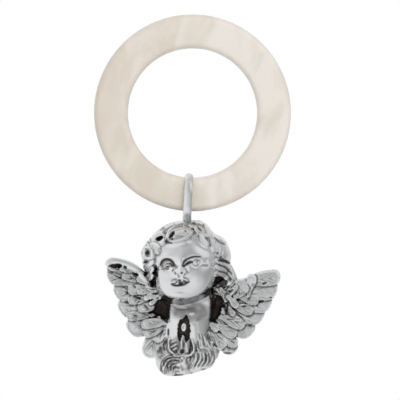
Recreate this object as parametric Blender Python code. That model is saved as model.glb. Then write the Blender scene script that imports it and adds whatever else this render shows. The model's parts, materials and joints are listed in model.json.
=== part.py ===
"""Silver cherub rattle hanging by a soldered loop from a plastic teething ring.

The frame: the origin is the centre of the ring, +Z is up as the rattle hangs, and the cherub looks
along -Y. Sizes are in millimetres and become metres where a mesh is made.
"""
import math

import bmesh
import bpy
import numpy as np

for leftover in list(bpy.data.objects):
    bpy.data.objects.remove(leftover, do_unlink=True)

MM = 0.001

# Teething ring
RING_OUTER_R = 27.5
RING_BAND = 9.44
RING_THICK = 6.5
RING_SQUARENESS = 2.6
RING_STEPS = 56
RING_SIDES = 14

# Hanging loop, a flat strap bent into a long oval round the ring's bar
LOOP_CLEARANCE = 0.28
LOOP_WIDTH = 2.4
LOOP_THICK = 0.9
LOOP_STRAIGHT = 2.5
LOOP_BEND_STEPS = 14
LOOP_SEAT_DEPTH = 1.05
FOOT_CLEARANCE = 0.3

# Cherub, measured from the point of the chin
HEAD_HALF_WIDTH = 12.4
HEAD_RISE = 22.85
LEFT_WING_REACH = 22.1
RIGHT_WING_REACH = 26.7
BODY_DROP = 20.8
HEAD_DEPTH = 12.0
NECK_DEPTH = 7.1
BREAST_DEPTH = 5.8
WING_DEPTH = 1.5
FEATHER_STEP = 0.6
FEATHER_CROWN = 0.55
PIT_DEPTH = 1.3
EDGE_DEPTH = 0.8
BACK_DEPTH = 4.2
BACK_WING_DEPTH = 1.5
WALL = 0.9
RIM_WIDTH = 1.1
SEAM_GAP = 0.2
SEAM_Y = 1.4
SHELL_SIDES = 100
FRONT_RINGS = 34
INNER_RINGS = 11
BACK_RINGS = 7

# Rattle balls, loose in the hollow
BALL_DIAMETER = 2.4
BALL_COUNT = 5
BALL_CLEARANCE = 0.3
BALL_REST_GAP = 0.5

PIVOT_Z = -(RING_OUTER_R - RING_BAND / 2)
LOOP_INNER_R = RING_BAND / 2 + LOOP_CLEARANCE
LOOP_BEND_R = LOOP_INNER_R + LOOP_THICK / 2
LOOP_OUTER_R = LOOP_INNER_R + LOOP_THICK
LOOP_LOW_Z = PIVOT_Z - LOOP_STRAIGHT
CREST_Z = LOOP_LOW_Z - LOOP_OUTER_R + LOOP_SEAT_DEPTH
CHIN_Z = CREST_Z - HEAD_RISE

# Large forms as shares of the head: middle up its rise, half width, and depth or half height
SKULL_FORM = (0.49, 0.93, 0.80)
FACE_FORM = (0.42, 0.74, 0.41)
BACK_HEAD_FORM = (0.49, 0.97, 0.51)
FACE_FADE_SHARE = 0.40
CURL_CROWN_SHARE = 0.75
# Large forms as shares of the body: place over its drop, half width over the head's, half height
NECK_FORM = ((0.105, -0.05), 0.52, 0.63)
BREAST_FORM = ((0.07, -0.38), 0.50, 0.42)
BACK_BODY_FORM = ((0.04, -0.35), 0.80, 0.62)
GROOVE_FORM = ((0.05, -0.40), (0.07, 0.20), 0.2)
BACK_SWELL_SHARE = 1.7
# A feather's shape as shares: its round end, the width at its root, its midrib's width and height
FEATHER_FORM = (1.1, 0.8, 0.15, 0.33)
# Rows of shorter feathers over the long ones, each as a share of their length
COVERT_ROWS = (0.66, 0.38)

# Long wing feathers from the top down: root and tip as shares of the wing's reach, and half width
LEFT_FEATHERS = (
    ((-0.40, 0.24), (-1.00, 0.44), 0.116),
    ((-0.36, 0.12), (-0.96, 0.24), 0.105),
    ((-0.32, 0.02), (-0.88, 0.04), 0.108),
    ((-0.27, -0.08), (-0.79, -0.17), 0.112),
    ((-0.22, -0.20), (-0.660, -0.415), 0.116),
    ((-0.16, -0.32), (-0.47, -0.665), 0.112),
)
RIGHT_FEATHERS = (
    ((0.42, 0.14), (1.00, 0.330), 0.096),
    ((0.38, 0.05), (0.97, 0.165), 0.088),
    ((0.36, -0.04), (0.92, -0.005), 0.090),
    ((0.34, -0.12), (0.845, -0.155), 0.090),
    ((0.31, -0.20), (0.74, -0.335), 0.098),
    ((0.28, -0.28), (0.57, -0.495), 0.102),
)
# Breast feathers as shares of the drop from chin to tail
BREAST_FEATHERS = (
    ((-0.08, -0.45), (-0.20, -1.00), 0.168),
    ((0.06, -0.50), (0.04, -1.00), 0.175),
    ((0.22, -0.45), (0.32, -0.93), 0.180),
    ((0.28, -0.42), (0.55, -0.77), 0.150),
)
# Curls as shares of the head's half width and rise: place, radius over the half width, and height
CURLS = (
    ((-0.81, 0.58), 0.21, 0.42),
    ((-0.69, 0.72), 0.15, 0.54),
    ((-0.50, 0.82), 0.15, 0.64),
    ((-0.26, 0.83), 0.23, 0.86),
    ((-0.06, 0.85), 0.20, 0.84),
    ((0.24, 0.91), 0.20, 0.58),
    ((0.45, 0.87), 0.20, 0.60),
    ((0.69, 0.75), 0.17, 0.58),
    ((0.85, 0.645), 0.22, 0.50),
    ((0.88, 0.47), 0.22, 0.46),
    ((1.00, 0.35), 0.20, 0.34),
    ((-0.79, 0.40), 0.16, 0.40),
    ((-0.70, 0.27), 0.12, 0.36),
)
# Face swells: place as above, spread as shares of the half width, and height over the head's depth
FACE_SWELLS = (
    ((-0.12, 0.400), (0.085, 0.080), 0.130),
    ((-0.10, 0.475), (0.075, 0.130), 0.060),
    ((-0.40, 0.280), (0.210, 0.200), 0.060),
    ((0.34, 0.290), (0.240, 0.220), 0.075),
    ((-0.39, 0.465), (0.150, 0.095), -0.090),
    ((0.25, 0.500), (0.160, 0.095), -0.090),
    ((-0.39, 0.460), (0.080, 0.060), 0.055),
    ((0.25, 0.495), (0.080, 0.060), 0.055),
    ((0.24, 0.570), (0.180, 0.045), 0.040),
    ((-0.38, 0.535), (0.160, 0.045), 0.035),
    ((-0.10, 0.295), (0.150, 0.040), 0.055),
    ((-0.09, 0.255), (0.140, 0.028), -0.060),
    ((-0.09, 0.215), (0.130, 0.045), 0.060),
    ((-0.06, 0.105), (0.160, 0.110), 0.080),
)


def make_material(name, colour, roughness, metallic):
    material = bpy.data.materials.new(name)
    material.use_nodes = True
    shader = material.node_tree.nodes["Principled BSDF"]
    shader.inputs["Base Color"].default_value = (*colour, 1.0)
    shader.inputs["Roughness"].default_value = roughness
    shader.inputs["Metallic"].default_value = metallic
    return material


def make_object(name, points, faces, material, origin=(0.0, 0.0, 0.0)):
    """One named object from points in millimetres, with its origin at the given place."""
    mesh = bpy.data.meshes.new(name)
    placed = (np.asarray(points) - np.asarray(origin)) * MM
    mesh.from_pydata(placed.tolist(), [], faces)
    mesh.materials.append(material)
    mesh.shade_smooth()
    mesh.set_sharp_from_angle(angle=math.radians(40))
    thing = bpy.data.objects.new(name, mesh)
    bpy.context.collection.objects.link(thing)
    thing.location = np.asarray(origin) * MM
    return thing


def ring_of_sections(sections):
    """Faces of a closed tube whose cross-sections lie one after another round a ring."""
    count, sides = len(sections), len(sections[0])
    faces = []
    for i in range(count):
        after = (i + 1) % count
        for j in range(sides):
            side = (j + 1) % sides
            faces.append((i * sides + j, i * sides + side, after * sides + side, after * sides + j))
    return np.concatenate(sections), faces


def teething_ring(material):
    """A ring with a flattened oval section, thick enough to chew and thin enough to hold."""
    middle = RING_OUTER_R - RING_BAND / 2
    power = 2 / RING_SQUARENESS
    turn = np.arange(RING_SIDES) * 2 * math.pi / RING_SIDES
    out = RING_BAND / 2 * np.sign(np.cos(turn)) * np.abs(np.cos(turn)) ** power
    deep = RING_THICK / 2 * np.sign(np.sin(turn)) * np.abs(np.sin(turn)) ** power
    sections = []
    for i in range(RING_STEPS):
        angle = 2 * math.pi * i / RING_STEPS
        radius = middle + out
        sections.append(np.stack([radius * math.cos(angle), deep, radius * math.sin(angle)], 1))
    points, faces = ring_of_sections(sections)
    return make_object("teething_ring", points, faces, material)


def loop_path():
    """Centres of the strap in the YZ plane, with the outward direction at each."""
    places = []
    for i in range(LOOP_BEND_STEPS + 1):
        angle = math.pi * i / LOOP_BEND_STEPS
        places.append((PIVOT_Z, angle))
    for i in range(LOOP_BEND_STEPS + 1):
        angle = math.pi + math.pi * i / LOOP_BEND_STEPS
        places.append((LOOP_LOW_Z, angle))
    return places


def hanging_loop(material):
    """A half-round strap: flat against the ring, rounded on its outer side."""
    half = LOOP_WIDTH / 2
    flat = -LOOP_THICK / 2
    arch = [math.radians(a) for a in (20, 55, 90, 125, 160)]
    profile = [(half, flat), *[(half * math.cos(a), flat + LOOP_THICK * math.sin(a)) for a in arch],
               (-half, flat)]
    sections = []
    for centre_z, angle in loop_path():
        section = []
        for across, out in profile:
            radius = LOOP_BEND_R + out
            section.append((across, radius * math.cos(angle), centre_z + radius * math.sin(angle)))
        sections.append(np.array(section))
    points, faces = ring_of_sections(sections)
    return make_object("hanging_loop", points, faces, material, (0, 0, PIVOT_Z))


def swell(u, v, centre, spread):
    """A smooth round swell that is 1 at its centre."""
    return np.exp(-((u - centre[0]) / spread[0]) ** 2 - ((v - centre[1]) / spread[1]) ** 2)


def dome(u, v, centre, half, depth):
    """Height of half an ellipsoid, and 0 outside it."""
    level = 1 - ((u - centre[0]) / half[0]) ** 2 - ((v - centre[1]) / half[1]) ** 2
    return depth * np.sqrt(np.clip(level, 0, None))


def feather(u, v, root, tip, half_width, low):
    """Height of one feather: a leaf with a round end, a crowned blade and a raised midrib."""
    end_share, root_share, rib_width, rib_rise = FEATHER_FORM
    along_u, along_v = tip[0] - root[0], tip[1] - root[1]
    length = math.hypot(along_u, along_v)
    share = ((u - root[0]) * along_u + (v - root[1]) * along_v) / length ** 2
    across = ((v - root[1]) * along_u - (u - root[0]) * along_v) / length
    round_end = half_width * end_share / length
    past = np.clip((share - 1 + round_end) / round_end, 0, 1)
    taper = root_share + (1 - root_share) * np.clip(share, 0, 1)
    width = half_width * taper * np.sqrt(1 - past ** 2) + 1e-6
    side = np.abs(across) / width
    inside = (share > 0) & (share < 1) & (side < 1)
    blade = FEATHER_CROWN * np.sqrt(np.clip(1 - side ** 2, 0, 1))
    rib = FEATHER_CROWN * rib_rise * np.exp(-(side / rib_width) ** 2)
    lift = FEATHER_STEP * (1 - np.clip(share, 0, 1))
    return np.where(inside, low + lift + blade + rib, 0)


def all_feathers():
    """Long feathers, two rows of shorter ones over them, and the breast feathers."""
    found = []
    for reach, row in ((LEFT_WING_REACH, LEFT_FEATHERS), (RIGHT_WING_REACH, RIGHT_FEATHERS)):
        for root, tip, half_width in row:
            found.append((root, tip, half_width, reach, 0))
        for upper, lower in zip(row, row[1:]):
            root = [(a + b) / 2 for a, b in zip(upper[0], lower[0])]
            end = [(a + b) / 2 for a, b in zip(upper[1], lower[1])]
            half_width = upper[2]
            for layer, share in enumerate(COVERT_ROWS, 1):
                tip = [a + (b - a) * share for a, b in zip(root, end)]
                found.append((root, tip, half_width, reach, layer))
    for root, tip, half_width in BREAST_FEATHERS:
        found.append((root, tip, half_width, BODY_DROP, 1))
    for root, tip, half_width, size, layer in found:
        scaled = [[size * value for value in point] for point in (root, tip)]
        yield *scaled, size * half_width, WING_DEPTH + FEATHER_STEP * layer


def head_place(place):
    return place[0] * HEAD_HALF_WIDTH, place[1] * HEAD_RISE


def body_place(place):
    return place[0] * BODY_DROP, place[1] * BODY_DROP


def body_dome(u, v, form, depth):
    place, wide, tall = form
    return dome(u, v, body_place(place), (HEAD_HALF_WIDTH * wide, BODY_DROP * tall), depth)


def head_height(u, v):
    """Skull under the hair, with the curls standing on it."""
    middle, wide, deep = SKULL_FORM
    half = (HEAD_HALF_WIDTH * wide, HEAD_RISE * (1 - middle))
    depth = HEAD_DEPTH * deep
    height = dome(u, v, head_place((0, middle)), half, depth)
    for place, radius, rise in CURLS:
        size = radius * HEAD_HALF_WIDTH
        curl = dome(u, v, head_place(place), (size, size), size * CURL_CROWN_SHARE)
        height = np.maximum(height, np.where(curl > 0, curl + rise * depth, 0))
    return height


def face_height(u, v):
    """A round child's face with brow, eyes, nose, lips, cheeks and chin."""
    middle, wide, tall = FACE_FORM
    half = (HEAD_HALF_WIDTH * wide, HEAD_RISE * tall)
    height = dome(u, v, head_place((0, middle)), half, HEAD_DEPTH)
    fade = np.clip(height / (HEAD_DEPTH * FACE_FADE_SHARE), 0, 1)
    for place, spread, rise in FACE_SWELLS:
        size = [share * HEAD_HALF_WIDTH for share in spread]
        height = height + fade * rise * HEAD_DEPTH * swell(u, v, head_place(place), size)
    return height


def body_height(u, v):
    """Neck and breast, with the open groove between the folds at the front."""
    neck = body_dome(u, v, NECK_FORM, NECK_DEPTH)
    breast = body_dome(u, v, BREAST_FORM, BREAST_DEPTH)
    place, spread, share = GROOVE_FORM
    groove = swell(u, v, body_place(place), body_place(spread))
    return np.maximum(neck, breast) - BREAST_DEPTH * share * groove


def inside_outline(u, v):
    """True where the cherub, seen from the front, covers the point."""
    covered = head_height(u, v) > 0
    for root, tip, half_width, low in all_feathers():
        covered = covered | (feather(u, v, root, tip, half_width, low) > 0)
    return covered | (body_height(u, v) > 0) | (face_height(u, v) > 0)


def outline_radius(angles):
    """Distance from the chin to the outermost covered point in each direction."""
    farthest = 1.2 * max(HEAD_RISE, BODY_DROP, LEFT_WING_REACH, RIGHT_WING_REACH)
    reach = np.linspace(0, farthest, 900)
    u = reach[None, :] * np.cos(angles)[:, None]
    v = reach[None, :] * np.sin(angles)[:, None]
    return np.where(inside_outline(u, v), reach[None, :], 0).max(1)


def front_height(u, v):
    height = np.full(np.shape(u), PIT_DEPTH)
    for root, tip, half_width, low in all_feathers():
        height = np.maximum(height, feather(u, v, root, tip, half_width, low))
    for part in (head_height, face_height, body_height):
        height = np.maximum(height, part(u, v))
    return height


def back_height(u, v):
    """A plain back: one level plane over head and breast, and thin flat wings."""
    full = BACK_DEPTH * BACK_SWELL_SHARE
    middle, wide, tall = BACK_HEAD_FORM
    head = dome(u, v, head_place((0, middle)), (HEAD_HALF_WIDTH * wide, HEAD_RISE * tall), full)
    body = body_dome(u, v, BACK_BODY_FORM, full)
    return np.clip(np.maximum(head, body), BACK_WING_DEPTH, BACK_DEPTH)


def inner_height(height, u, v):
    """The hollow's surface: the outer one, drawn in by the wall from above and from the sides."""
    drawn = height(u, v) - WALL
    for step in range(12):
        angle = math.tau * step / 12
        beside = height(u + WALL * math.cos(angle), v + WALL * math.sin(angle))
        drawn = np.minimum(drawn, beside - WALL / 3)
    return np.maximum(drawn, WALL / 10)


def outline_rows():
    """Directions round the chin, the outline's reach in each, and the reach of the hollow's mouth."""
    angles = np.arange(SHELL_SIDES) * math.tau / SHELL_SIDES
    radius = outline_radius(angles)
    near = np.stack([np.roll(radius, k) for k in (-2, -1, 0, 1, 2)]).min(0)
    return angles, radius, near - RIM_WIDTH


def seam_ring(angles, radius, seam):
    """One row of points in the plane of the seam."""
    flat = np.full(len(angles), seam)
    return np.stack([radius * np.cos(angles), flat, CHIN_Z + radius * np.sin(angles)], 1)


def shell_points(angles, radius, shares, height, seam, out):
    """Rows of points from the edge inward, and last the middle point."""
    rows = []
    for share in shares:
        u, v = share * radius * np.cos(angles), share * radius * np.sin(angles)
        rows.append(np.stack([u, seam + out * height(u, v), CHIN_Z + v], 1))
    middle = float(height(np.zeros(1), np.zeros(1))[0])
    rows.append(np.array([[0.0, seam + out * middle, CHIN_Z]]))
    return rows


def half_shell(name, height, rings, out, material):
    """One struck half: a relief drawn in polar rows round the chin, hollow behind, open at the seam."""
    angles, radius, bare = outline_rows()
    seam = SEAM_Y + out * SEAM_GAP / 2
    edge = seam_ring(angles, radius, seam)
    rim = edge + (0, out * EDGE_DEPTH, 0)
    shares = np.linspace(1, 0, rings + 1)[1:-1]
    outer = shell_points(angles, radius, shares, height, seam, out)
    mouth = seam_ring(angles, bare, seam)
    shares = np.linspace(1, 0, INNER_RINGS + 1)[1:-1]
    inner = shell_points(angles, bare, shares, lambda u, v: inner_height(height, u, v), seam, out)
    rows = [outer[-1], *outer[-2::-1], rim, edge, mouth, *inner]
    points = np.concatenate(rows)
    starts = np.cumsum([0] + [len(row) for row in rows])
    faces = []
    for k in range(len(rows) - 1):
        first, second = starts[k], starts[k + 1]
        for j in range(SHELL_SIDES):
            side = (j + 1) % SHELL_SIDES
            if len(rows[k]) == 1:
                face = (first, second + j, second + side)
            elif len(rows[k + 1]) == 1:
                face = (first + j, second, first + side)
            else:
                face = (first + j, second + j, second + side, first + side)
            faces.append(face if out < 0 else face[::-1])
    return make_object(name, points, faces, material, (0, 0, PIVOT_Z))


def cut_foot_seat(shell, cutter):
    """The saddle filed across the crown, in which the loop's foot is soldered."""
    cut = shell.modifiers.new("loop_seat", "BOOLEAN")
    cut.operation = "DIFFERENCE"
    cut.solver = "EXACT"
    cut.object = cutter


def foot_cutter():
    radius = LOOP_OUTER_R + FOOT_CLEARANCE
    half = LOOP_WIDTH / 2 + FOOT_CLEARANCE
    steps = 32
    points = []
    for x in (-half, half):
        for i in range(steps):
            angle = math.tau * i / steps
            points.append((x, radius * math.cos(angle), LOOP_LOW_Z + radius * math.sin(angle)))
    faces = [(i, (i + 1) % steps, steps + (i + 1) % steps, steps + i) for i in range(steps)]
    faces.append(tuple(reversed(range(steps))))
    faces.append(tuple(range(steps, 2 * steps)))
    cutter = make_object("loop_seat_cutter", points, faces, make_material("cutter", (1, 0, 0), 0.5, 0.0))
    cutter.hide_render = True
    cutter.display_type = "WIRE"
    return cutter


def ball_rest(x, y, angles, reach):
    """Lowest height at which a ball in the column at x, y stays clear of the hollow's walls and mouth."""
    need = BALL_DIAMETER / 2 + BALL_REST_GAP
    levels = np.arange(-BODY_DROP, 0, BALL_CLEARANCE / 2)
    turn, tilt = np.meshgrid(np.arange(12) * math.tau / 12, np.radians((-60, -30, 0, 30, 60)))
    u = x + need * (np.cos(tilt) * np.cos(turn)).ravel() + 0 * levels[:, None]
    v = levels[:, None] + need * (np.cos(tilt) * np.sin(turn)).ravel()
    deep = y - SEAM_Y + need * np.sin(tilt).ravel()
    clear = (deep > -inner_height(front_height, u, v)) & (deep < inner_height(back_height, u, v))
    clear &= np.hypot(u, v) < np.interp(np.arctan2(v, u), angles, reach, period=math.tau)
    return CHIN_Z + levels[clear.all(1)][0]


def rattle_balls(material):
    """Steel balls in two upright rows, one nearer the back and one nearer the front."""
    angles, _, bare = outline_rows()
    reach = bare * (1 - 1 / INNER_RINGS)
    apart = BALL_DIAMETER + BALL_CLEARANCE
    back_y = SEAM_Y + BACK_DEPTH - WALL - apart / 2 - BALL_REST_GAP
    for index in range(BALL_COUNT):
        x = BODY_DROP * 0.04 + (index - (BALL_COUNT - 1) / 2) * apart / 2
        y = back_y - (index % 2) * (apart + BALL_CLEARANCE)
        mesh = bpy.data.meshes.new(f"rattle_ball_{index + 1}")
        shape = bmesh.new()
        bmesh.ops.create_uvsphere(shape, u_segments=12, v_segments=8, radius=BALL_DIAMETER / 2 * MM)
        shape.to_mesh(mesh)
        shape.free()
        mesh.materials.append(material)
        mesh.shade_smooth()
        ball = bpy.data.objects.new(mesh.name, mesh)
        bpy.context.collection.objects.link(ball)
        ball.location = (x * MM, y * MM, ball_rest(x, y, angles, reach) * MM)


def build():
    plastic = make_material("cream_plastic", (0.80, 0.74, 0.67), 0.25, 0.0)
    silver = make_material("silver", (0.72, 0.72, 0.71), 0.25, 1.0)
    steel = make_material("steel", (0.55, 0.55, 0.56), 0.3, 1.0)
    teething_ring(plastic)
    hanging_loop(silver)
    cutter = foot_cutter()
    cut_foot_seat(half_shell("front_shell", front_height, FRONT_RINGS, -1, silver), cutter)
    cut_foot_seat(half_shell("back_shell", back_height, BACK_RINGS, 1, silver), cutter)
    rattle_balls(steel)


build()
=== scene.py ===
import json
import math

import bpy
import numpy as np
from mathutils import Matrix, Vector

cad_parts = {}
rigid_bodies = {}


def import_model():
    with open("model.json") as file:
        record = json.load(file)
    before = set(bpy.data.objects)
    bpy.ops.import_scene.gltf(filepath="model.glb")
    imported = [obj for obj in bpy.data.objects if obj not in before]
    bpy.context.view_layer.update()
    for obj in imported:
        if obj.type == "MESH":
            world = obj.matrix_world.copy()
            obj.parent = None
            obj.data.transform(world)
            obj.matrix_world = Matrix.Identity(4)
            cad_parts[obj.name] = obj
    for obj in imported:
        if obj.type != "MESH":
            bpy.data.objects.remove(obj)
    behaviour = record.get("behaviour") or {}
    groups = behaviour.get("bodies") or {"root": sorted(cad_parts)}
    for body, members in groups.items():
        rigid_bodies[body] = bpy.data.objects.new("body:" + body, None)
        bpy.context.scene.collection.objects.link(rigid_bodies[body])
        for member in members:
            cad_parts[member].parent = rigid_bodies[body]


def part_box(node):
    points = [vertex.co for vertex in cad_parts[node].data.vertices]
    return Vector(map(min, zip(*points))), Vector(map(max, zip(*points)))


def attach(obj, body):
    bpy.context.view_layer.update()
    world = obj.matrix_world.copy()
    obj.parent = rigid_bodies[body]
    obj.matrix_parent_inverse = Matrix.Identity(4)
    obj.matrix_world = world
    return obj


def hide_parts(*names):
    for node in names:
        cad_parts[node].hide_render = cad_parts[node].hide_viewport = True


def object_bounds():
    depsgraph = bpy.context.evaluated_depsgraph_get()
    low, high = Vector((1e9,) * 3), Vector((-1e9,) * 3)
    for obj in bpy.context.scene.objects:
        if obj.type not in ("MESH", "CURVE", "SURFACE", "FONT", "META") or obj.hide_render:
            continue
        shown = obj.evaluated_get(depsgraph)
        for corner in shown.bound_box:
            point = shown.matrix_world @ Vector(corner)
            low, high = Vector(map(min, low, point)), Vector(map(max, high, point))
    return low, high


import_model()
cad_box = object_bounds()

# Studio: a white sweep with two soft boxes in front. The silver mirrors a greyer room, darker to the
# right and above the camera, so that its form shows. The camera looks square at the cherub's front
# with a long lens, rolled by the small lean of the rattle in the picture.
MM = 0.001
PICTURE_PX = 400
PX_PER_MM = 3.575
RING_CENTRE_PX = (192.5, 113.0)
LEAN = math.radians(3.0)
CAMERA_DISTANCE = 1.0
SENSOR_WIDTH = 36
FLOOR_HALF = 0.55
FLOOR_DROP = 0.06
DIFFUSE_LIGHT = 0.62


def linear(code):
    """A linear RGBA colour from an sRGB hex code."""
    parts = [int(code[i:i + 2], 16) / 255 for i in (1, 3, 5)]
    return (*[v / 12.92 if v <= 0.04045 else ((v + 0.055) / 1.055) ** 2.4 for v in parts], 1.0)


def add_node(tree, kind, inputs=None, **settings):
    """One node with its settings; an input given a socket is linked, any other value is set."""
    made = tree.nodes.new(kind)
    for name, value in settings.items():
        setattr(made, name, value)
    for key, value in (inputs or {}).items():
        if isinstance(value, bpy.types.NodeSocket):
            tree.links.new(value, made.inputs[key])
        else:
            made.inputs[key].default_value = value
    return made


def new_material(name):
    """A material with its node tree and its main shader."""
    material = bpy.data.materials.new(name)
    material.use_nodes = True
    tree = material.node_tree
    return material, tree, tree.nodes["Principled BSDF"]


right = Vector((math.cos(LEAN), 0, math.sin(LEAN)))
up = Vector((-math.sin(LEAN), 0, math.cos(LEAN)))
off_right = (PICTURE_PX / 2 - RING_CENTRE_PX[0]) / PX_PER_MM * MM
off_down = (PICTURE_PX / 2 - RING_CENTRE_PX[1]) / PX_PER_MM * MM
aim = right * off_right - up * off_down
camera_data = bpy.data.cameras.new("camera")
camera = bpy.data.objects.new("camera", camera_data)
bpy.context.collection.objects.link(camera)
facing = Matrix((right, up, Vector((0, -1, 0)))).transposed()
camera.matrix_world = Matrix.Translation(aim + Vector((0, -CAMERA_DISTANCE, 0))) @ facing.to_4x4()
camera_data.sensor_width = SENSOR_WIDTH
camera_data.lens = SENSOR_WIDTH * CAMERA_DISTANCE / (PICTURE_PX / PX_PER_MM * MM)
bpy.context.scene.camera = camera
bpy.context.scene.view_settings.view_transform = "Standard"

floor_z = cad_box[0].z - FLOOR_DROP
corners = [(FLOOR_HALF * x, FLOOR_HALF * y, floor_z) for x, y in ((-1, -1), (1, -1), (1, 1), (-1, 1))]
floor_mesh = bpy.data.meshes.new("floor")
floor_mesh.from_pydata(corners, [], [(0, 1, 2, 3)])
floor = bpy.data.objects.new("floor", floor_mesh)
bpy.context.collection.objects.link(floor)
# White studio paint: matt, so the floor shows the object's shadow and no mirror image
floor_paint, tree, shader = new_material("white_studio_floor")
shader.inputs["Base Color"].default_value = linear("#F4F4F2")
shader.inputs["Roughness"].default_value = 0.9
floor_mesh.materials.append(floor_paint)
floor.visible_glossy = False

world = bpy.data.worlds.new("white_studio")
world.use_nodes = True
bpy.context.scene.world = world
sky = world.node_tree
sky.nodes.clear()
ray = add_node(sky, "ShaderNodeLightPath")
towards = add_node(sky, "ShaderNodeTexCoord").outputs["Generated"]
# What glossy rays see in place of the white: a room that is brighter to the left, below and behind
ROOM_SLOPE = (-0.40, 0.10, -0.05)
ROOM_DARK, ROOM_BRIGHT = 0.32, 0.90
slope = add_node(sky, "ShaderNodeVectorMath", {0: towards, 1: ROOM_SLOPE},
                 operation="DOT_PRODUCT").outputs["Value"]
gloom = add_node(sky, "ShaderNodeMapRange", {"Value": slope, "From Min": -0.5, "From Max": 0.0,
                                             "To Min": ROOM_DARK, "To Max": ROOM_BRIGHT}).outputs["Result"]
# Soft windows low and high on both sides light the curls and rims: direction, where the edge begins
# and brightness. The last one takes light away, above the camera.
WINDOW_FULL = 0.96
WINDOWS = (
    ((-0.75, -0.35, -0.56), 0.55, 0.11), ((-0.80, 0.33, 0.50), 0.74, 0.18),
    ((0.75, -0.25, 0.61), 0.78, 0.42), ((0.55, -0.65, -0.52), 0.66, 0.20),
    ((-0.15, -0.70, 0.70), 0.72, -0.16))
for direction, spread, brightness in WINDOWS:
    beam = add_node(sky, "ShaderNodeVectorMath", {0: towards, 1: direction},
                    operation="DOT_PRODUCT").outputs["Value"]
    window = add_node(sky, "ShaderNodeMapRange", {"Value": beam, "From Min": spread,
                                                  "From Max": WINDOW_FULL, "To Max": brightness},
                      interpolation_type="SMOOTHSTEP")
    gloom = add_node(sky, "ShaderNodeMath", {0: gloom, 1: window.outputs["Result"]},
                     operation="ADD").outputs["Value"]
room = add_node(sky, "ShaderNodeMix", {"Factor": ray.outputs["Is Glossy Ray"], "A": 1.0, "B": gloom},
                data_type="FLOAT").outputs["Result"]
seen = add_node(sky, "ShaderNodeMath", {0: ray.outputs["Is Camera Ray"],
                                        1: ray.outputs["Is Glossy Ray"]},
                operation="MAXIMUM").outputs["Value"]
seen = add_node(sky, "ShaderNodeMath", {0: seen, 1: ray.outputs["Is Transmission Ray"]},
                operation="MAXIMUM").outputs["Value"]
strength = add_node(sky, "ShaderNodeMix", {"Factor": seen, "A": DIFFUSE_LIGHT, "B": room},
                    data_type="FLOAT").outputs["Result"]
backdrop = add_node(sky, "ShaderNodeBackground", {"Color": linear("#FFFFFF"), "Strength": strength})
add_node(sky, "ShaderNodeOutputWorld", {"Surface": backdrop.outputs["Background"]})


def soft_lamp(name, place, power, size):
    """A square soft box aimed at the middle of the object."""
    data = bpy.data.lights.new(name, "AREA")
    data.energy = power
    data.size = size
    lamp = bpy.data.objects.new(name, data)
    bpy.context.collection.objects.link(lamp)
    lamp.location = place
    lamp.visible_glossy = False
    lamp.rotation_euler = (aim - Vector(place)).to_track_quat("-Z", "Y").to_euler()


soft_lamp("key_soft_box", (0.15, -0.75, 0.50), power=2.9, size=0.45)
soft_lamp("fill_soft_box", (0.45, -0.60, -0.20), power=1.2, size=0.40)

# Teething ring: one piece of cast plastic with a mother-of-pearl cloud in it, turned and polished.
# Its faces are flat with soft rounded edges, and it is closed through the loop. It is the grip.
RING_OUTER_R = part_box("teething_ring")[1].x
RING_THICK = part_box("teething_ring")[1].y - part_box("teething_ring")[0].y
RING_BAND = 9.44 * MM
RING_EDGE_R = 1.9 * MM
RING_STEPS = 192
CLOUD_WIDTH = 9 * MM
CLOUD_DRIFT = 0.18


def finished(name, thing, body, slot_name, *nodes):
    """A plain mesh object from the evaluated one, riding its body in place of the CAD nodes."""
    bpy.context.view_layer.update()
    mesh = bpy.data.meshes.new_from_object(thing.evaluated_get(bpy.context.evaluated_depsgraph_get()))
    mesh.name = name
    bpy.data.objects.remove(thing, do_unlink=True)
    piece = bpy.data.objects.new(name, mesh)
    bpy.context.collection.objects.link(piece)
    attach(piece, body)
    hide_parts(*nodes)


def new_tree(name, sizes):
    """An empty Geometry Nodes tree with a geometry input and one float input for each size."""
    tree = bpy.data.node_groups.new(name, "GeometryNodeTree")
    tree.interface.new_socket("Geometry", in_out="INPUT", socket_type="NodeSocketGeometry")
    for size in sizes:
        tree.interface.new_socket(size, in_out="INPUT", socket_type="NodeSocketFloat")
    tree.interface.new_socket("Geometry", in_out="OUTPUT", socket_type="NodeSocketGeometry")
    return tree


def grow(thing, tree, sizes):
    """Puts the tree on the object, with its sizes set by socket identifier."""
    modifier = thing.modifiers.new(tree.name, "NODES")
    modifier.node_group = tree
    for item in tree.interface.items_tree:
        if item.in_out == "INPUT" and item.name in sizes:
            modifier[item.identifier] = sizes[item.name]


def end_tree(tree, shape, material):
    """The last nodes of a tree: smooth shading, real geometry and the piece's material."""
    smooth = add_node(tree, "GeometryNodeSetShadeSmooth", {"Geometry": shape}).outputs["Geometry"]
    real = add_node(tree, "GeometryNodeRealizeInstances", {"Geometry": smooth}).outputs["Geometry"]
    painted = add_node(tree, "GeometryNodeSetMaterial", {"Geometry": real, "Material": material})
    add_node(tree, "NodeGroupOutput", {"Geometry": painted.outputs["Geometry"]})


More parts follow.
